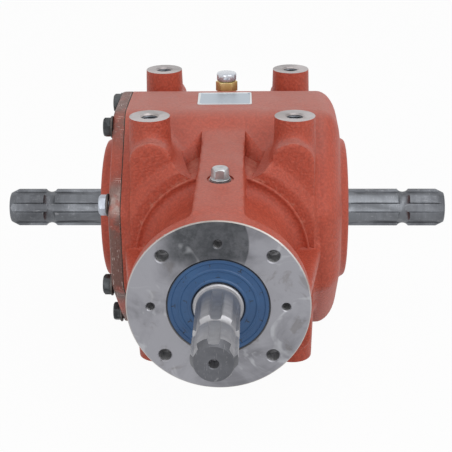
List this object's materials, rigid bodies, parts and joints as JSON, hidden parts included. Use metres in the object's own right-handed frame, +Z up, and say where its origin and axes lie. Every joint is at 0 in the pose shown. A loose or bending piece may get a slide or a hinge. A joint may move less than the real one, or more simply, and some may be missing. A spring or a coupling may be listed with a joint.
{
  "type": "right-angle bevel gearbox",
  "caption": "Right-angle bevel gearbox with a splined input shaft in a round flange, a splined through cross shaft and tapped feet above and below.",
  "frame": {"origin": "centre of the four lower feet, on their faces", "axes": "+Z up; +X along the cross shaft towards the closed right wall, away from the cover; the input shaft and its flange point to -Y; the axes cross 114 mm above the origin"},
  "size_m": [0.409, 0.4212, 0.2321],
  "materials": {
    "casting_paint": "red oxide paint on rough iron castings",
    "shaft_dark_steel": "dark, lightly oiled machined steel",
    "shaft_bright_steel": "bright machined steel",
    "gear_steel": "case-hardened, cut and oiled",
    "bearing_steel": "ground",
    "black_steel": "blackened",
    "zinc_steel": "zinc plated",
    "seal_rubber": "satin blue",
    "gasket_paper": "oiled sheet",
    "sealing_aluminium": "matt",
    "turned_brass": "satin",
    "chrome_plate": "polished",
    "plate_aluminium": "brushed, bare of any text"
  },
  "bodies": {
    "housing_set": {"housing": "casting_paint", "side_cover": "casting_paint", "cover_gasket": "gasket_paper", "cover_screws": "black_steel", "cover_washers": "zinc_steel", "input_rear_outer_ring": "bearing_steel", "input_front_outer_ring": "bearing_steel", "left_outer_ring": "bearing_steel", "right_outer_ring": "bearing_steel", "left_shim": "bearing_steel", "right_shim": "bearing_steel", "input_seal": "seal_rubber", "left_seal": "seal_rubber", "right_seal": "seal_rubber", "seal_springs": "bearing_steel", "filler_plug": "zinc_steel", "filler_washer": "sealing_aluminium", "drain_plug": "zinc_steel", "drain_washer": "sealing_aluminium", "level_plug": "zinc_steel", "level_washer": "sealing_aluminium", "breather_body": "turned_brass", "breather_cap": "chrome_plate", "breather_washer": "turned_brass", "nameplate": "plate_aluminium"},
    "input_shaft_set": {"input_shaft": "shaft_bright_steel", "input_pinion": "gear_steel", "pinion_key": "bearing_steel", "pinion_tab_washer": "bearing_steel", "pinion_lock_nut": "black_steel", "input_rear_inner_ring": "bearing_steel", "input_front_inner_ring": "bearing_steel", "input_spacer_tube": "shaft_dark_steel", "input_shaft_clip": "black_steel"},
    "cross_shaft_set": {"cross_shaft": "shaft_dark_steel", "ring_gear": "gear_steel", "ring_gear_key": "bearing_steel", "long_spacer_sleeve": "shaft_dark_steel", "short_spacer_sleeve": "shaft_dark_steel", "left_inner_ring": "bearing_steel", "right_inner_ring": "bearing_steel"},
    "input_rear_roller_set": {"input_rear_rollers": "bearing_steel"},
    "input_front_roller_set": {"input_front_rollers": "bearing_steel"},
    "left_roller_set": {"left_rollers": "bearing_steel"},
    "right_roller_set": {"right_rollers": "bearing_steel"}
  },
  "joints": [
    {"name": "cross_spin", "type": "hinge", "parent": "housing_set", "child": "cross_shaft_set", "pos_m": [0, 0, 0.114], "axis": [1, 0, 0], "continuous": true},
    {"name": "input_spin", "type": "hinge", "parent": "housing_set", "child": "input_shaft_set", "pos_m": [0, 0, 0.114], "axis": [0, -1, 0], "continuous": true},
    {"name": "left_rollers_spin", "type": "hinge", "parent": "housing_set", "child": "left_roller_set", "pos_m": [0, 0, 0.114], "axis": [1, 0, 0], "continuous": true},
    {"name": "right_rollers_spin", "type": "hinge", "parent": "housing_set", "child": "right_roller_set", "pos_m": [0, 0, 0.114], "axis": [1, 0, 0], "continuous": true},
    {"name": "input_rear_rollers_spin", "type": "hinge", "parent": "housing_set", "child": "input_rear_roller_set", "pos_m": [0, 0, 0.114], "axis": [0, -1, 0], "continuous": true},
    {"name": "input_front_rollers_spin", "type": "hinge", "parent": "housing_set", "child": "input_front_roller_set", "pos_m": [0, 0, 0.114], "axis": [0, -1, 0], "continuous": true}
  ],
  "couplings": [
    {"joint": "input_spin", "follows": "cross_spin", "ratio": -1.5},
    {"joint": "left_rollers_spin", "follows": "cross_spin", "ratio": 0.432},
    {"joint": "right_rollers_spin", "follows": "cross_spin", "ratio": 0.432},
    {"joint": "input_rear_rollers_spin", "follows": "cross_spin", "ratio": -0.6396},
    {"joint": "input_front_rollers_spin", "follows": "cross_spin", "ratio": -0.6396}
  ]
}
